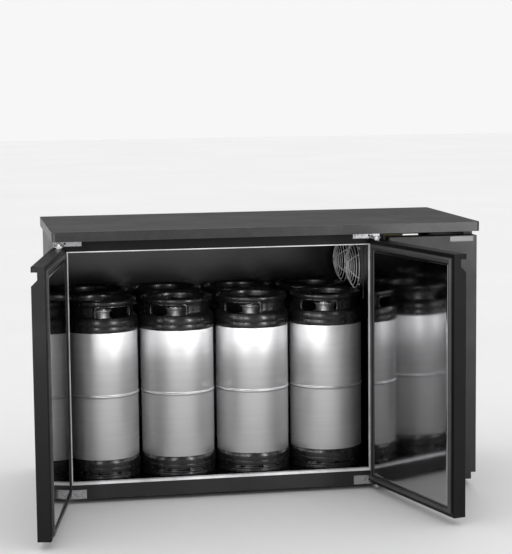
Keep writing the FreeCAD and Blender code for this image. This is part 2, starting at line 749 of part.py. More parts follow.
def keg_collar():
    """The rubber collar: a band, a shoulder and a neck with a hand hole on each side."""
    top, r, band = keg_steel_top, keg_radius, keg_band_radius
    low = top - 7
    inner, neck = r - 19, r - 11
    ring = turned([(r, low), (r + 3, low), (band, low + 4), (band, low + 36), (r, low + 47), (neck, low + 53),
                   (neck, low + 81), (r - 4, low + 86), (r - 1.5, low + 92), (r - 3, low + 99), (r - 10, low + 102),
                   (r - 17, low + 98), (inner, low + 88), (inner, top + 8), (r - 10, top + 8), (r, top)], V(0, 0, 0))
    half = r * hand_hole_share
    hole_low, hole_high, rim = low + 46, low + 80, 6.0
    for half_turn in (0, 180):
        raised = rounded_block(-half - rim, half + rim, -band, -inner / 2, hole_low - rim + 1, hole_high + rim - 1,
                               15.0, V(0, 1, 0))
        raised = raised.common(rod(neck + 4.5, V(0, 0, low), Z, 100)).cut(rod(inner, V(0, 0, low - 1), Z, 110))
        hole = rounded_block(-half, half, -band - 9, -inner / 2, hole_low, hole_high, 11.0, V(0, 1, 0))
        for tool in (raised, hole):
            tool.rotate(V(0, 0, 0), Z, half_turn)
        ring = fused([ring, raised]).cut(hole)
    return ring


def keg_pieces(place, angle):
    """The pieces of one keg: its steel ones, its rubber foot and its rubber collar."""
    steel = [keg_shell(), keg_neck(), keg_valve()]
    kinds = {"shell": steel, "foot": [keg_foot()], "collar": [keg_collar()]}
    return {kind: [placed(one, place, angle) for one in solids] for kind, solids in kinds.items()}


def kegs():
    plural = {"shell": "shells", "foot": "feet", "collar": "collars"}
    rear = {kind: [] for kind in plural}
    for i in range(keg_columns):
        x = keg_x0 + keg_pitch_x * i
        for kind, solids in keg_pieces(V(x, keg_y_front, interior_floor), hole_angles_front[i % len(hole_angles_front)]).items():
            save("keg_%d_%s" % (i + 1, kind), solids)
        for kind, solids in keg_pieces(V(x, keg_y_rear, interior_floor), hole_angles_rear[i % len(hole_angles_rear)]).items():
            rear[kind] += solids
    for kind, solids in rear.items():
        save("rear_keg_" + plural[kind], solids)


# ---- write every piece ----
os.makedirs("parts", exist_ok=True)
save("worktop", worktop())
save("worktop_board", worktop_board())
save("side_panel_left", side_panel(-1))
save("side_panel_right", side_panel(1))
save("back_panel", back_panel())
save("front_frame", front_frame())
save("opening_trim", opening_trim())
save("base_frame", base_frame())
save("insulation_foam", insulation_foam())
save("inner_liner", inner_liner())
save("machine_cover", machine_cover())
save("blank_nameplate", nameplate())
save("rear_grille", rear_grille())
save("power_inlet", power_inlet())
save("case_screws", case_screws())
for foot_name, foot_place in foot_places().items():
    save(foot_name, foot(foot_place, ground_gap - foot_nut_gap))
save("foot_centre", foot(V(0, 0, 0), ground_gap))
save("hinge_brackets", hinge_brackets())
save("hinge_pins", hinge_pins())
door("left")
door("right")
save("evaporator_cover", evaporator_cover())
save("evaporator_coil", evaporator_coil())
save("fan_guards", guard(front_fan_y) + guard(rear_fan_y))
save("evaporator_fan_front", evaporator_fan(front_fan_y))
save("evaporator_fan_rear", evaporator_fan(rear_fan_y))
save("fan_motors", fan_motors())
save("compressor", compressor())
save("condenser_coil", condenser_coil())
save("condenser_shroud", condenser_shroud())
save("condenser_fan", condenser_fan())
save("refrigerant_pipes", refrigerant_pipes())
save("drain_pan", drain_pan())
save("control_box", control_box())
kegs()
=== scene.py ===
import json
import math

import bmesh
import bpy
from mathutils import Matrix, Vector


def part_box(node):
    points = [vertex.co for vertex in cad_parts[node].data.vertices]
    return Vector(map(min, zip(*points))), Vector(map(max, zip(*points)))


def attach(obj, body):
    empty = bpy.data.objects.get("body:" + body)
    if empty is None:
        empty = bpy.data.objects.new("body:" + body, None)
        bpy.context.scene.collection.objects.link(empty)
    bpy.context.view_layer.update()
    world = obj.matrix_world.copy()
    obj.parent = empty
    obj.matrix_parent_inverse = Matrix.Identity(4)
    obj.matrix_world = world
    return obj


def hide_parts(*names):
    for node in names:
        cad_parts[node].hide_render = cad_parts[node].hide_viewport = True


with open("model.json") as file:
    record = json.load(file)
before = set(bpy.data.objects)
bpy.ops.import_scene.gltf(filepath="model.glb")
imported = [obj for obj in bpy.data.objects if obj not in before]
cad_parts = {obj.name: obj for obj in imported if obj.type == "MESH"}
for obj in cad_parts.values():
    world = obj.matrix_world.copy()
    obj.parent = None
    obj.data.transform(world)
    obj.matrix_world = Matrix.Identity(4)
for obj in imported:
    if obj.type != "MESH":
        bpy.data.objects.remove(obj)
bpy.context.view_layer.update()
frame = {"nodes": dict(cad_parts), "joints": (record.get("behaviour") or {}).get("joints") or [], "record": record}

# Looks for the keg cooler. Metres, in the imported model's own frame.

# ---- sizes that the pieces share with the CAD source ----
MM = 0.001
DOOR_WIDTH = 522.25 * MM
DOOR_THICK = 40.0 * MM
DOOR_LOW, DOOR_HIGH = 24.0 * MM, 821.0 * MM
HINGE_INSET, HINGE_DEPTH = 16.0 * MM, 15.0 * MM
SHEET = 1.2 * MM
LIP_THICK, LIP_HIGH = 4.0 * MM, 16.0 * MM
GRIP_DEEP, GRIP_HIGH = 18.0 * MM, 22.0 * MM
GASKET_INSET, GASKET_DEEP = 12.0 * MM, 9.0 * MM
PANEL_RIM, PANEL_SHEET, PANEL_RISE = 2.0 * MM, 1.5 * MM, 4.0 * MM
PANEL_MARGIN = 34.0 * MM
KEG_R, KEG_BAND, KEG_TOP = 118.0 * MM, 123.0 * MM, 482.5 * MM
KEG_HOLES_FRONT = (19.0, -24.0, -28.0, -25.0)
KEG_HOLES_REAR = (12.0, -8.0, 20.0, -30.0)
GUARD_R, GUARD_HIGH = 80.0 * MM, 28.0 * MM

KEG_STEPS = 144
HOLE_STEPS = 15


# ---- materials ----
class Shader:
    """One procedural material, built node by node."""

    def __init__(self, name, colour, rough, metal=0.0, **fixed):
        self.material = bpy.data.materials.new(name)
        self.material.use_nodes = True
        self.tree = self.material.node_tree
        self.out = self.tree.nodes["Principled BSDF"]
        self.set(self.out, "Metallic", metal)
        self.set(self.out, "Roughness", rough)
        self.colour, self.rough = colour, rough
        self.set(self.out, "Base Color", (*colour, 1))
        for socket, value in fixed.items():
            self.set(self.out, socket.replace("_", " "), value)
        self.coords = self.add("ShaderNodeTexCoord").outputs["Object"]
        self.height = None

    def add(self, kind):
        return self.tree.nodes.new(kind)

    def set(self, node, socket, value):
        node.inputs[socket].default_value = value

    def link(self, a, b):
        self.tree.links.new(a, b)

    def noise(self, scale, detail=4.0, stretch=(1, 1, 1), rough=0.55):
        place = self.add("ShaderNodeMapping")
        self.set(place, "Scale", stretch)
        self.link(self.coords, place.inputs["Vector"])
        node = self.add("ShaderNodeTexNoise")
        self.set(node, "Scale", scale)
        self.set(node, "Detail", detail)
        self.set(node, "Roughness", rough)
        self.link(place.outputs["Vector"], node.inputs["Vector"])
        return node.outputs["Fac"]

    def cells(self, scale, stretch=(1, 1, 1), out="Color"):
        place = self.add("ShaderNodeMapping")
        self.set(place, "Scale", stretch)
        self.link(self.coords, place.inputs["Vector"])
        node = self.add("ShaderNodeTexVoronoi")
        self.set(node, "Scale", scale)
        self.link(place.outputs["Vector"], node.inputs["Vector"])
        return node.outputs[out]

    def spread(self, value, low, high, a=0.3, b=0.7):
        node = self.add("ShaderNodeMapRange")
        for socket, v in (("From Min", a), ("From Max", b), ("To Min", low), ("To Max", high)):
            self.set(node, socket, v)
        self.link(value, node.inputs["Value"])
        return node.outputs["Result"]

    def tint(self, value, dark, light, a=0.3, b=0.7):
        """Base colour that runs from dark to light times the colour, following value."""
        ramp = self.add("ShaderNodeValToRGB")
        ramp.color_ramp.elements[0].position, ramp.color_ramp.elements[1].position = a, b
        ramp.color_ramp.elements[0].color = (*(c * dark for c in self.colour), 1)
        ramp.color_ramp.elements[1].color = (*(min(1, c * light) for c in self.colour), 1)
        self.link(value, ramp.inputs["Fac"])
        self.link(ramp.outputs["Color"], self.out.inputs["Base Color"])
        return self

    def gloss(self, value, low, high, a=0.3, b=0.7):
        self.link(self.spread(value, low, high, a, b), self.out.inputs["Roughness"])
        return self

    def bump(self, value, distance, strength=1.0):
        node = self.add("ShaderNodeBump")
        self.set(node, "Distance", distance)
        self.set(node, "Strength", strength)
        self.link(value, node.inputs["Height"])
        if self.height:
            self.link(self.height, node.inputs["Normal"])
        self.height = node.outputs["Normal"]
        self.link(self.height, self.out.inputs["Normal"])
        return self

    def around_z(self, anisotropic):
        tangent = self.add("ShaderNodeTangent")
        tangent.direction_type, tangent.axis = "RADIAL", "Z"
        self.link(tangent.outputs["Tangent"], self.out.inputs["Tangent"])
        self.set(self.out, "Anisotropic", anisotropic)
        return self


def powder(name, colour, rough, specular=0.3):
    s = Shader(name, colour, rough, Specular_IOR_Level=specular)
    s.tint(s.noise(3.0, 5), 0.8, 1.25)
    s.gloss(s.noise(11.0, 6), rough - 0.05, rough + 0.07)
    return s.bump(s.noise(700.0, 2), 0.00012, 0.35).bump(s.noise(90.0, 2), 0.0004, 0.12).material


def brushed(name, colour, rough, stretch, aniso=0.0, mark=0.12, grain=0.5, **fixed):
    s = Shader(name, colour, rough, 1.0, **fixed)
    lines = s.noise(1.0, 3, stretch, 0.7)
    s.tint(lines, 1 - mark, 1 + mark)
    s.gloss(s.noise(5.0, 5), rough - 0.05, rough + 0.06)
    s.bump(lines, 0.00006, grain)
    if aniso:
        s.around_z(aniso)
    return s.material


def moulded(name, colour, rough, grain=420.0, depth=0.0001, **fixed):
    s = Shader(name, colour, rough, **fixed)
    s.tint(s.noise(14.0, 5), 0.75, 1.3)
    s.gloss(s.noise(30.0, 5), rough - 0.06, rough + 0.08)
    return s.bump(s.noise(grain, 3), depth, 0.5).material


def zinc(name, colour, rough, scale):
    s = Shader(name, colour, rough, 1.0)
    s.tint(s.cells(scale), 0.82, 1.12, 0.1, 0.9)
    s.gloss(s.cells(scale), rough - 0.06, rough + 0.1, 0.1, 0.9)
    return s.bump(s.noise(400.0, 3), 0.00008, 0.3).material


def keg_steel():
    s = Shader("keg_steel", (0.58, 0.58, 0.585), 0.27, 1.0)
    fine = s.noise(1.0, 3, (5, 5, 1500), 0.75)
    broad = s.noise(1.0, 4, (3, 3, 90), 0.6)
    both = s.add("ShaderNodeMath")
    both.operation = "MULTIPLY_ADD"
    s.set(both, 1, 0.6)
    s.link(fine, both.inputs[0])
    s.link(s.spread(broad, 0.0, 0.4, 0.2, 0.8), both.inputs[2])
    s.tint(both.outputs["Value"], 0.93, 1.05, 0.25, 0.75)
    s.gloss(s.noise(4.0, 3), 0.32, 0.38)
    s.bump(s.noise(1.0, 2, (22, 22, 1.2)), 0.0012, 0.14)
    return s.around_z(0.88).material


def keg_dome():
    s = Shader("keg_dome", (0.62, 0.62, 0.625), 0.5, 1.0)
    s.tint(s.noise(60.0, 4), 0.9, 1.08)
    s.gloss(s.noise(30.0, 4), 0.42, 0.56)
    return s.bump(s.noise(900.0, 2), 0.00004, 0.3).material


def mirror_panel():
    s = Shader("door_panel_gloss", (0.33, 0.33, 0.335), 0.08, 1.0)
    s.tint(s.noise(1.0, 3, (400, 400, 2.5)), 0.96, 1.04)
    s.gloss(s.noise(4.0, 4), 0.05, 0.11)
    return s.bump(s.noise(3.0, 2), 0.003, 0.12).bump(s.noise(1.0, 3, (900, 900, 5)), 0.00002, 0.1).material


def liner_steel():
    s = Shader("liner_steel", (0.075, 0.075, 0.077), 0.24, 1.0)
    s.tint(s.noise(2.0, 4), 0.8, 1.15)
    s.gloss(s.noise(3.0, 4), 0.20, 0.28)
    return s.bump(s.noise(1.0, 3, (3, 3, 700)), 0.00005, 0.4).bump(s.noise(4.0, 2), 0.002, 0.15).material


def foam_cells():
    s = Shader("foam", (0.72, 0.64, 0.42), 0.85)
    s.tint(s.noise(60.0, 6), 0.8, 1.12)
    return s.bump(s.cells(900.0, out="Distance"), 0.0004, 0.8).material


def worktop_black():
    s = Shader("worktop_black", (0.013, 0.013, 0.0135), 0.36, Specular_IOR_Level=0.4)
    s.tint(s.noise(40.0, 8, rough=0.7), 0.7, 1.5)
    s.gloss(s.noise(6.0, 6), 0.29, 0.40)
    return s.bump(s.noise(900.0, 2), 0.0001, 0.4).material


MATERIALS = {
    "worktop_black": worktop_black(),
    "board": moulded("board", (0.42, 0.32, 0.20), 0.8, 300.0, 0.0003),
    "case_black": powder("case_black", (0.010, 0.010, 0.0105), 0.40),
    # front frame: a darker copy of case_black, painted shade standing in for the worktop's shadow on the header
    "frame_black_painted_shade": powder("frame_black_painted_shade", (0.003, 0.003, 0.0032), 0.40, 0.14),
    "door_black": powder("door_black", (0.003, 0.003, 0.0032), 0.36, 0.14),
    "case_galvanised": zinc("case_galvanised", (0.42, 0.43, 0.44), 0.42, 70.0),
    "trim_grey": moulded("trim_grey", (0.50, 0.50, 0.51), 0.36),
    "foam": foam_cells(),
    "liner_steel": liner_steel(),
    "nameplate": brushed("nameplate", (0.16, 0.16, 0.163), 0.5, (5, 5, 1800)),
    "inlet_plastic": moulded("inlet_plastic", (0.03, 0.03, 0.032), 0.45),
    "zinc": zinc("zinc", (0.40, 0.40, 0.41), 0.30, 260.0),
    # guard wires: a pale, non-metal stand-in for the zinc wire, painted light so the guards read as lit
    "guard_wire": moulded("guard_wire", (0.72, 0.72, 0.73), 0.3, 300.0, 0.00005),
    "keg_dome": keg_dome(),
    "foot_metal": zinc("foot_metal", (0.45, 0.45, 0.46), 0.35, 300.0),
    "door_panel_gloss": mirror_panel(),
    "gasket": moulded("gasket", (0.022, 0.022, 0.023), 0.42, 600.0, 0.00006),
    "nylon": moulded("nylon", (0.74, 0.74, 0.72), 0.4),
    "fins": brushed("fins", (0.7, 0.71, 0.72), 0.3, (40, 40, 500)),
    "fan_plastic": moulded("fan_plastic", (0.035, 0.035, 0.038), 0.4),
    "machine_black": powder("machine_black", (0.02, 0.02, 0.02), 0.3),
    "copper": brushed("copper", (0.72, 0.38, 0.24), 0.28, (60, 60, 60)),
    "keg_steel": keg_steel(),
    "keg_rubber": moulded("keg_rubber", (0.005, 0.005, 0.0053), 0.27, 500.0, 0.00006, Specular_IOR_Level=0.45),
    "valve_steel": brushed("valve_steel", (0.62, 0.62, 0.62), 0.25, (300, 300, 1500)),
}
# the front frame takes the darker copy of case_black: painted shade under the worktop
for part in frame["record"]["subparts"]:
    node = frame["nodes"][part["node"]]
    node.data.materials.clear()
    node.data.materials.append(MATERIALS["frame_black_painted_shade" if part["node"] == "front_frame" else part["material_slot"]])


# ---- mesh helpers ----
def piece(name, verts, faces, body, slot, stands_for=(), bevel=0.0, smooth=32.0, place=None):
    """A mesh object that rides on a body and may stand for CAD nodes."""
    mesh = verts if isinstance(verts, bpy.types.Mesh) else bpy.data.meshes.new(name)
    if mesh is not verts:
        mesh.from_pydata([tuple(v) for v in verts], [], faces)
    made = bpy.data.objects.new(name, mesh)
    bpy.context.scene.collection.objects.link(made)
    if mesh is not verts:
        tidy = bmesh.new()
        tidy.from_mesh(mesh)
        bmesh.ops.remove_doubles(tidy, verts=tidy.verts, dist=1e-6)
        bmesh.ops.recalc_face_normals(tidy, faces=tidy.faces)
        tidy.to_mesh(mesh)
        tidy.free()
        mesh.materials.append(MATERIALS[slot])
        mesh.shade_smooth()
        mesh.set_sharp_from_angle(angle=math.radians(smooth))
    if bevel:
        soften = made.modifiers.new("soft_edges", "BEVEL")
        soften.width, soften.segments = bevel, 3
        soften.limit_method, soften.angle_limit = "ANGLE", math.radians(30)
        soften.harden_normals = True
    if place:
        made.matrix_world = place
    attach(made, body)
    if stands_for:
        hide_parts(*stands_for)
    return made


def rounded(points, radius, steps=4):
    """A closed outline with its corners turned into short arcs."""
    done = []
    count = len(points)
    for i, here in enumerate(points):
        p, q, r = Vector(points[i - 1]), Vector(here), Vector(points[(i + 1) % count])
        a, b = p - q, r - q
        reach = min(radius, a.length * 0.45, b.length * 0.45)
        if q.x < 1e-9 or a.angle(b) > math.radians(172):
            done.append(tuple(q))
            continue
        start, end = q + a.normalized() * reach, q + b.normalized() * reach
        for k in range(steps + 1):
            t = k / steps
            done.append(tuple(start * (1 - t) ** 2 + q * (2 * t * (1 - t)) + end * t ** 2))
    return done


def lathe(outline, steps=KEG_STEPS, shift=None):
    """A closed (radius, height) outline turned about Z. shift(i, k, r) may move a ring's point."""
    verts, faces, rings = [], [], []
    for i, (r, z) in enumerate(outline):
        if r < 1e-6:
            rings.append([len(verts)] * steps)
            verts.append((0, 0, z))
            continue
        rings.append(list(range(len(verts), len(verts) + steps)))
        for k in range(steps):
            a = 2 * math.pi * k / steps
            rr = shift(i, k, r) if shift else r
            verts.append((rr * math.sin(a), -rr * math.cos(a), z))
    for i, ring in enumerate(rings):
        nxt = rings[(i + 1) % len(rings)]
        for k in range(steps):
            m = (k + 1) % steps
            quad = list(dict.fromkeys((ring[k], ring[m], nxt[m], nxt[k])))
            if len(quad) > 2:
                faces.append(quad)
    return verts, faces


def box(lo, hi):
    x0, y0, z0 = lo
    x1, y1, z1 = hi
    verts = [(x0, y0, z0), (x1, y0, z0), (x1, y1, z0), (x0, y1, z0),
             (x0, y0, z1), (x1, y0, z1), (x1, y1, z1), (x0, y1, z1)]
    faces = [(0, 3, 2, 1), (4, 5, 6, 7), (0, 1, 5, 4), (1, 2, 6, 5), (2, 3, 7, 6), (3, 0, 4, 7)]
    return verts, faces


def along_x(outline, x0, x1):
    """A prism from a (y, z) outline."""
    n = len(outline)
    verts = [(x, y, z) for x in (x0, x1) for y, z in outline]
    faces = [tuple(range(n)), tuple(range(2 * n - 1, n - 1, -1))]
    faces += [(i, (i + 1) % n, n + (i + 1) % n, n + i) for i in range(n)]
    return verts, faces


def merged(parts):
    verts, faces = [], []
    for v, f in parts:
        start = len(verts)
        verts += v
        faces += [tuple(i + start for i in face) for face in f]
    return verts, faces


def frame_ring(lo, hi, y, outline):
    """An (inset, depth) outline swept round a rectangle in XZ with mitred corners. Depth runs +Y from y."""
    verts, faces = [], []
    for inset, depth in outline:
        for x, z in ((lo[0] + inset, lo[1] + inset), (hi[0] - inset, lo[1] + inset),
                     (hi[0] - inset, hi[1] - inset), (lo[0] + inset, hi[1] - inset)):
            verts.append((x, y + depth, z))
    n = len(outline)
    for i in range(n):
        j = (i + 1) % n
        for k in range(4):
            m = (k + 1) % 4
            faces.append((4 * i + k, 4 * i + m, 4 * j + m, 4 * j + k))
    return verts, faces


# ---- kegs ----
def keg_shell_mesh():
    top, r = KEG_TOP, KEG_R
    outside = [(0, 0.018), (0.095, 0.026), (0.110, 0.036), (r, 0.050), (r, 0.264), (r + 0.0007, 0.2665),
               (r + 0.0025, 0.2695), (r + 0.0025, 0.272), (r - 0.0006, 0.2745), (r, 0.279),
               (r, top), (0.108, top + 0.008), (0.098, top + 0.008), (0.070, top + 0.019), (0.033, top + 0.027),
               (0.030, top + 0.031), (0.030, top + 0.048), (0.036, top + 0.050), (0.036, top + 0.056),
               (0.024, top + 0.056)]
    inside = [(0.024, top + 0.028), (0.068, top + 0.017), (0.097, top + 0.006), (0.106, top + 0.006),
              (r - 0.002, top - 0.002), (r - 0.002, 0.051), (0.109, 0.038), (0.094, 0.028), (0, 0.020)]
    return lathe(rounded(outside + inside, 0.006, 3))


def keg_foot_mesh():
    r, band = KEG_R, KEG_BAND
    outline = rounded([(0.099, 0), (r + 0.001, 0), (r + 0.0025, 0.003), (r + 0.0025, 0.011), (r + 0.0012, 0.0125),
                       (r + 0.0025, 0.014), (r + 0.0025, 0.020), (r - 0.0025, 0.0215), (r - 0.0025, 0.0265),
                       (band, 0.028), (band, 0.040), (band - 0.0008, 0.041), (band, 0.042), (band, 0.056),
                       (r + 0.0012, 0.066), (r, 0.066), (r, 0.050), (0.110, 0.036), (0.095, 0.026)], 0.0015, 2)
    groove = {i for i, (rr, z) in enumerate(outline) if 0.0195 < z < 0.0285 and r - 0.004 < rr < r + 0.004}

    def slots(i, k, rr):
        return rr - 0.007 if i in groove and k % 12 in (0, 1) else rr
    return lathe(outline, shift=slots)


def keg_collar_mesh():
    """The collar: a band, a shoulder, a neck with two rimmed hand holes, and a rolled top edge."""
    top, r, band = KEG_TOP, KEG_R, KEG_BAND
    low = top - 0.007
    patch_low, patch_high, rows = low + 0.040, low + 0.0865, 12
    outer = [(r, low), (r + 0.003, low), (band, low + 0.004), (band, low + 0.018), (band - 0.0009, low + 0.0195),
             (band, low + 0.021), (band, low + 0.033), (band - 0.0008, low + 0.0365), (r, low + 0.0455),
             (0.1095, low + 0.0505), (0.1075, low + 0.0535), (0.107, low + 0.057), (0.107, low + 0.079),
             (0.1085, low + 0.0825), (0.1125, low + 0.085), (0.1150, low + 0.088), (0.1165, low + 0.092),
             (0.1163, low + 0.096), (0.1145, low + 0.0995), (0.1110, low + 0.1015), (0.108, low + 0.102),
             (0.104, low + 0.1012), (0.101, low + 0.098), (0.0994, low + 0.0935), (0.099, low + 0.088)]
    inner_end = [(0.099, low + 0.026), (0.099, top + 0.008), (0.108, top + 0.008), (r, top)]

    def outer_r(z):
        for (r0, z0), (r1, z1) in zip(outer[7:17], outer[8:18]):
            if z0 <= z <= z1:
                return r0 + (r1 - r0) * (z - z0) / (z1 - z0)
        return outer[7][0]
    levels = [patch_low + (patch_high - patch_low) * j / (rows - 1) for j in range(rows)]
    outline = [p for p in outer[:8]]
    outline += [(outer_r(z), z) for z in levels]
    outline += [p for p in outer if p[1] > patch_high + 0.0008]
    outline += [(0.099, z) for z in reversed(levels)] + inner_end
    first_out = 8
    first_in = len(outline) - len(inner_end) - rows

    steps = KEG_STEPS
    verts, faces = lathe(outline, steps)
    skip = set()
    half = HOLE_STEPS
    for centre in (0, steps // 2):
        for d in range(-half, half):
            k = (centre + d) % steps
            for j in range(rows - 1):
                skip.add((first_out + j, k))
                skip.add((first_in + j, k))
    kept = [f for n, f in enumerate(faces) if (n // steps, n % steps) not in skip]

    mouth_mid, half_w, half_h, corner = low + 0.063, 0.057, 0.017, 0.011
    fractions = (0.0, 0.10, 0.22, 0.36, 0.52, 0.68, 0.82)
    swell = (0.55, 0.86, 1.0, 1.0, 0.92, 0.55, 0.12)

    def on_outline(x, z):
        cx = max(-(half_w - corner), min(half_w - corner, x))
        cz = max(-(half_h - corner), min(half_h - corner, z))
        d = Vector((x - cx, z - cz))
        if d.length < 1e-9:
            d = Vector((0, 1))
        d = d.normalized() * corner
        return cx + d.x, cz + d.y

    def point(angle, z, radius):
        return (radius * math.sin(angle), -radius * math.cos(angle), z)

    for centre in (0, steps // 2):
        turn = 2 * math.pi * centre / steps
        loops = []
        for first, surface in ((first_out, outer_r), (first_in, None)):
            def level(j):
                return levels[j] if surface else levels[rows - 1 - j]
            border = [(-half + d, 0) for d in range(2 * half)] + [(half, j) for j in range(rows - 1)]
            border += [(half - d, rows - 1) for d in range(2 * half)] + [(-half, rows - 1 - j) for j in range(rows - 1)]
            rim = [(first + j) * steps + (centre + d) % steps for d, j in border]
            rings = []
            for f, s in zip(fractions, swell):
                ring = []
                for d, j in border:
                    angle_b, z_b = 2 * math.pi * d / steps, level(j)
                    radius_b = surface(z_b) if surface else 0.099
                    x_o, z_o = on_outline(radius_b * math.sin(angle_b), z_b - mouth_mid)
                    z_o += mouth_mid
                    radius_o = surface(z_o) if surface else 0.099
                    angle_o = math.asin(max(-1, min(1, x_o / radius_o)))
                    angle, z = angle_o + (angle_b - angle_o) * f, z_o + (z_b - z_o) * f
                    radius = max(surface(z), 0.107 + 0.0045 * s) if surface else 0.099
                    ring.append(len(verts))
                    verts.append(point(angle + turn, z, radius))
                rings.append(ring)
            rings.append(rim)
            for a, b in zip(rings, rings[1:]):
                n = len(a)
                kept += [(a[i], a[(i + 1) % n], b[(i + 1) % n], b[i]) for i in range(n)]
            loops.append(rings[0])
        front, back = loops
        n = len(front)
        # the inner wall's rows run the other way, so its loop is matched from the outline's other end
        order = [min(range(n), key=lambda q: (Vector(verts[back[q]]).xz - Vector(verts[i]).xz).length) for i in front]
        kept += [(front[i], front[(i + 1) % n], back[order[(i + 1) % n]], back[order[i]]) for i in range(n)]
    faces = [tuple(dict.fromkeys(f)) for f in kept]
    return verts, [f for f in faces if len(f) > 2]


def keg_valve_mesh():
    top = KEG_TOP
    outline = [(0, top + 0.034), (0.022, top + 0.034), (0.024, top + 0.044), (0.024, top + 0.056),
               (0.036, top + 0.056), (0.036, top + 0.059), (0.031, top + 0.0605), (0.020, top + 0.061),
               (0.0195, top + 0.052), (0.0175, top + 0.050), (0.012, top + 0.0495), (0.0115, top + 0.053),
               (0.008, top + 0.0545), (0, top + 0.055)]
    return lathe(rounded(outline, 0.0012, 2), 72)


def keg_meshes():
    made = {}
    for kind, (verts, faces), slot in (("steel", keg_shell_mesh(), "keg_steel"), ("foot", keg_foot_mesh(), "keg_rubber"),
                                       ("collar", keg_collar_mesh(), "keg_rubber"), ("valve", keg_valve_mesh(), "valve_steel")):
        mesh = bpy.data.meshes.new("keg_" + kind)
        mesh.from_pydata([tuple(v) for v in verts], [], faces)
        tidy = bmesh.new()
        tidy.from_mesh(mesh)
        bmesh.ops.remove_doubles(tidy, verts=tidy.verts, dist=2e-6)
        bmesh.ops.recalc_face_normals(tidy, faces=tidy.faces)
        tidy.to_mesh(mesh)
        tidy.free()
        mesh.materials.append(MATERIALS[slot])
        if kind == "steel":
            mesh.materials.append(MATERIALS["keg_dome"])
            for face in mesh.polygons:
                face.material_index = int(face.center.z > KEG_TOP + 0.0005 and face.center.xy.length < KEG_R - 0.002)
        mesh.shade_smooth()
        mesh.set_sharp_from_angle(angle=math.radians(38))
        made[kind] = (mesh, "keg_steel" if kind == "valve" else slot)
    return made


shared = keg_meshes()
node_kinds = {"steel": "shell", "foot": "foot", "collar": "collar", "valve": "shell"}
rear_nodes = {"shell": "rear_keg_shells", "foot": "rear_keg_feet", "collar": "rear_keg_collars"}
for rear, angles in ((False, KEG_HOLES_FRONT), (True, KEG_HOLES_REAR)):
    for i, angle in enumerate(angles):
        front = "keg_%d" % (i + 1)
        lo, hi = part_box(front + "_foot")
        y_lo, y_hi = [corner.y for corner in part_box("rear_keg_feet" if rear else front + "_foot")]
        centre = ((lo.x + hi.x) / 2, (y_lo + y_hi) / 2, lo.z)
        place = Matrix.Translation(centre) @ Matrix.Rotation(math.radians(angle), 4, "Z")
        for kind, (mesh, slot) in shared.items():
            node = rear_nodes[node_kinds[kind]] if rear else "%s_%s" % (front, node_kinds[kind])
            piece("visual_%s%s_%s" % ("rear_" if rear else "", front, kind), mesh, None,
                  "cabinet" if rear else front, slot, [node], place=place)


# ---- doors ----
def door_place(side):
    joint = next(j for j in frame["joints"] if j["name"] == side + "_door_hinge")
    pivot = Vector(joint["pos_m"])
    turn = -joint["range_deg"][1] if side == "left" else -joint["range_deg"][0]
    pivot.z = 0
    return pivot, Matrix.Translation(pivot) @ Matrix.Rotation(math.radians(turn), 4, "Z") @ Matrix.Translation(-pivot)


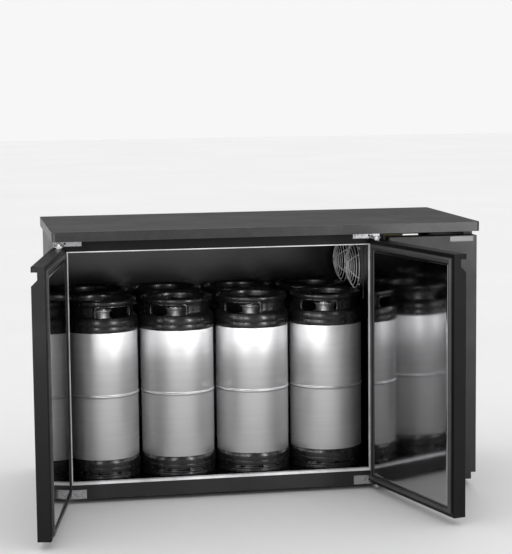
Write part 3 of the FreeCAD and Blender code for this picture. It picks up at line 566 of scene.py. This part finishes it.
def door(side):
    pivot, place = door_place(side)
    inward = 1 if side == "left" else -1
    edge = pivot.x - inward * HINGE_INSET
    x0, x1 = sorted([edge, edge + inward * DOOR_WIDTH])
    inner = pivot.y + HINGE_DEPTH
    front = inner - DOOR_THICK
    back = front + GRIP_DEEP
    low, high = DOOR_LOW, DOOR_HIGH
    ledge = high - LIP_HIGH - GRIP_HIGH
    body = side + "_door"

    middle = [(inner, low), (front, low), (front, ledge - GRIP_DEEP), (back, ledge), (back, high - LIP_THICK),
              (front + LIP_THICK, high - LIP_THICK), (front + LIP_THICK, high - LIP_HIGH), (front, high - LIP_HIGH),
              (front, high), (inner, high)]
    skin = piece(body + "_case", *along_x(middle, x0, x1), body, "door_black", [side + "_door_skin", side + "_door_core"],
                 bevel=0.0012, place=place)
    for k, x in enumerate((x0, x1 - LIP_THICK)):
        cap = box((x, front, high - LIP_HIGH), (x + LIP_THICK, back, high))
        piece("%s_lip_end_%d" % (body, k + 1), *cap, body, "door_black", bevel=0.0009, place=place)

    rim, sheet, rise, margin = PANEL_RIM, PANEL_SHEET, PANEL_RISE, PANEL_MARGIN
    lo, hi = (x0 + rim, low + rim), (x1 - rim, high - rim)
    tray = [(0, 0), (0, sheet), (margin - 6 * MM, sheet), (margin - 4 * MM, sheet + 0.4 * MM), (margin - 2 * MM, sheet + rise - 0.6 * MM),
            (margin + 0.5 * MM, sheet + rise), (margin + 3 * MM, sheet + rise), (margin + 3 * MM, 0)]
    verts, faces = frame_ring(lo, hi, inner, tray)
    n = len(tray)
    faces.append(tuple(4 * (n - 2) + k for k in range(4)))
    faces.append(tuple(k for k in range(4)))
    faces = [f for f in faces if not set(f) & set(range(4 * (n - 1), 4 * n))]
    panel = piece(body + "_inner_panel", verts, faces, body, "door_panel_gloss", [side + "_door_panel"], place=place)
    panel.data.materials.append(MATERIALS["door_black"])
    for face in panel.data.polygons:
        x, y, z = face.center
        inset = min(x - x0, x1 - x, z - low, high - z)
        face.material_index = int(inset < margin - 8 * MM)

    lo, hi = (x0, low), (x1, high)
    a, d = GASKET_INSET, GASKET_DEEP
    seal = [(a, 1.5 * MM), (a, 3.2 * MM), (a + 2.5 * MM, 3.6 * MM), (a + 3.2 * MM, 5.2 * MM), (a + 1.6 * MM, 6.4 * MM),
            (a + 1.6 * MM, d - 0.8 * MM), (a + 2.6 * MM, d), (a + 12.4 * MM, d), (a + 13.4 * MM, d - 0.8 * MM),
            (a + 13.4 * MM, 6.6 * MM), (a + 9.0 * MM, 5.8 * MM), (a + 8.4 * MM, 3.8 * MM), (a + 13.0 * MM, 3.5 * MM),
            (a + 14.0 * MM, 4.8 * MM), (a + 16.4 * MM, 5.0 * MM), (a + 17.6 * MM, 3.4 * MM), (a + 18 * MM, 1.5 * MM)]
    piece(body + "_seal", *frame_ring(lo, hi, inner, seal), body, "gasket", [side + "_door_gasket"],
          smooth=50, place=place)
    return skin


for door_side in ("left", "right"):
    door(door_side)


# ---- fan guards ----
def wire_guard(name, y, z, plate_x):
    """Rings on bowed wires: a dome towards -X."""
    curve = bpy.data.curves.new(name, "CURVE")
    curve.dimensions, curve.bevel_depth, curve.bevel_resolution, curve.resolution_u = "3D", 0.0011, 2, 12
    sphere = (GUARD_R ** 2 + GUARD_HIGH ** 2) / (2 * GUARD_HIGH)
    back = plate_x - 0.0045

    def dome(radius, angle, lift=0.0):
        depth = math.sqrt(sphere ** 2 - radius ** 2) - (sphere - GUARD_HIGH)
        return (back - depth - lift, y + radius * math.cos(angle), z + radius * math.sin(angle))

    def line(points, cyclic):
        spline = curve.splines.new("NURBS")
        spline.points.add(len(points) - 1)
        for target, p in zip(spline.points, points):
            target.co = (*p, 1)
        spline.order_u = 4 if cyclic else 3
        spline.use_cyclic_u = cyclic
        spline.use_endpoint_u = not cyclic
    for ring in range(1, 9):
        radius = GUARD_R * ring / 8
        line([dome(radius, 2 * math.pi * k / 24) for k in range(24)], True)
    for bow in range(6):
        angle = math.radians(60 * bow + 30)
        line([dome(GUARD_R * t / 6 + 0.004 * (t == 0), angle, -0.0021) for t in range(7)], False)
    made = bpy.data.objects.new(name, curve)
    bpy.context.scene.collection.objects.link(made)
    mesh = bpy.data.meshes.new_from_object(made)
    bpy.data.objects.remove(made)
    mesh.name = name
    mesh.materials.clear()
    # the pale guard wire material: painted light on the wires
    mesh.materials.append(MATERIALS["guard_wire"])
    mesh.shade_smooth()
    return piece(name, mesh, None, "cabinet", "zinc", ["fan_guards"])


plate_lo, plate_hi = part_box("evaporator_cover")
for fan in ("front", "rear"):
    lo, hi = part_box("evaporator_fan_" + fan)
    centre_y, centre_z = (lo.y + hi.y) / 2, (lo.z + hi.z) / 2
    wire_guard("fan_guard_" + fan, centre_y, centre_z, plate_lo.x)
    knob = [(0, 0), (0.0085, 0), (0.0085, 0.0028), (0.006, 0.0042), (0, 0.0046)]
    verts, faces = lathe(rounded(knob, 0.0008, 2), 32)
    place = Matrix.Translation((plate_lo.x - 0.0045 - GUARD_HIGH + 0.002, centre_y, centre_z)) @ Matrix.Rotation(math.radians(-90), 4, "Y")
    piece("fan_guard_%s_button" % fan, verts, faces, "cabinet", "zinc", place=place)
    for k in range(4):
        a = math.radians(45 + 90 * k)
        reach = GUARD_R + 0.0054
        place = (Matrix.Translation((plate_lo.x, centre_y + reach * math.cos(a), centre_z + reach * math.sin(a)))
                 @ Matrix.Rotation(math.radians(-90), 4, "Y"))
        lug = [(0, 0), (0.0052, 0), (0.0052, 0.0012), (0.0038, 0.0034), (0, 0.0042)]
        verts, faces = lathe(rounded(lug, 0.0006, 2), 24)
        piece("fan_guard_%s_screw_%d" % (fan, k + 1), verts, faces, "cabinet", "zinc", place=place)


# ---- floor, light and camera ----
floor_mesh = bpy.data.meshes.new("floor")
floor_mesh.from_pydata([(-30, -30, 0), (30, -30, 0), (30, 30, 0), (-30, 30, 0)], [], [(0, 1, 2, 3)])
floor = bpy.data.objects.new("floor", floor_mesh)
bpy.context.scene.collection.objects.link(floor)
pale = Shader("pale_floor", (0.86, 0.86, 0.86), 0.6)
pale.tint(pale.noise(0.6, 3), 0.98, 1.02)
floor_mesh.materials.append(pale.material)

world = bpy.data.worlds.new("studio")
bpy.context.scene.world = world
world.use_nodes = True
backing = world.node_tree.nodes["Background"]
backing.inputs["Color"].default_value = (0.93, 0.93, 0.93, 1)
ray = world.node_tree.nodes.new("ShaderNodeLightPath")
level = world.node_tree.nodes.new("ShaderNodeMapRange")
level.inputs["To Min"].default_value, level.inputs["To Max"].default_value = 0.26, 1.0
world.node_tree.links.new(ray.outputs["Is Camera Ray"], level.inputs["Value"])
world.node_tree.links.new(level.outputs["Result"], backing.inputs["Strength"])


def link_group(name, state):
    """A light-linking group that holds only the floor, to light it alone or to leave it out."""
    group = bpy.data.collections.new(name)
    group.objects.link(floor)
    group.collection_objects[0].light_linking.link_state = state
    return group


all_but_floor = link_group("all_but_floor", "EXCLUDE")
floor_alone = link_group("floor_alone", "INCLUDE")


def softbox(name, at, aim, wide, tall, power):
    light = bpy.data.lights.new(name, "AREA")
    light.shape, light.size, light.size_y, light.energy = "RECTANGLE", wide, tall, power
    lamp = bpy.data.objects.new(name, light)
    bpy.context.scene.collection.objects.link(lamp)
    lamp.location = at
    lamp.rotation_euler = (Vector(aim) - Vector(at)).to_track_quat("-Z", "Y").to_euler()
    lamp.light_linking.receiver_collection = all_but_floor


softbox("left_side", (-4.2, -1.2, 1.9), (-0.6, -0.1, 0.6), 2.2, 2.2, 120)
softbox("right_strip", (1.7, -3.25, 1.35), (-0.1, -0.2, 0.45), 0.30, 2.6, 86)
softbox("left_strip", (-1.6, -3.5, 1.35), (-0.15, -0.2, 0.45), 0.24, 2.6, 56)
softbox("far_left_strip", (-2.5, -2.9, 1.35), (-0.15, -0.2, 0.45), 0.24, 2.6, 34)
softbox("overhead", (0.2, 0.3, 3.4), (0, 0, 0.8), 3.2, 2.2, 90)
sky_light = bpy.data.lights.new("floor_light", "SUN")
sky_light.angle, sky_light.energy = math.pi, 2.4
sky = bpy.data.objects.new("floor_light", sky_light)
bpy.context.scene.collection.objects.link(sky)
sky.light_linking.receiver_collection = floor_alone

CAMERA_AT = (-1.0231, -5.6910, 1.3632)
YAW, PITCH, ROLL = 0.1793, 0.1176, -0.0101
cam_data = bpy.data.cameras.new("camera")
cam_data.lens, cam_data.sensor_width, cam_data.sensor_fit = 113.18, 36.0, "AUTO"
cam = bpy.data.objects.new("camera", cam_data)
bpy.context.scene.collection.objects.link(cam)
ahead = Vector((math.sin(YAW) * math.cos(PITCH), math.cos(YAW) * math.cos(PITCH), -math.sin(PITCH)))
across = Vector((math.cos(YAW), -math.sin(YAW), 0))
up = across.cross(ahead)
across, up = (across * math.cos(ROLL) + up * math.sin(ROLL), up * math.cos(ROLL) - across * math.sin(ROLL))
turn = Matrix((across, up, -ahead)).transposed().to_4x4()
cam.matrix_world = Matrix.Translation(CAMERA_AT) @ turn
bpy.context.scene.camera = cam
bpy.context.scene.view_settings.view_transform = "Standard"
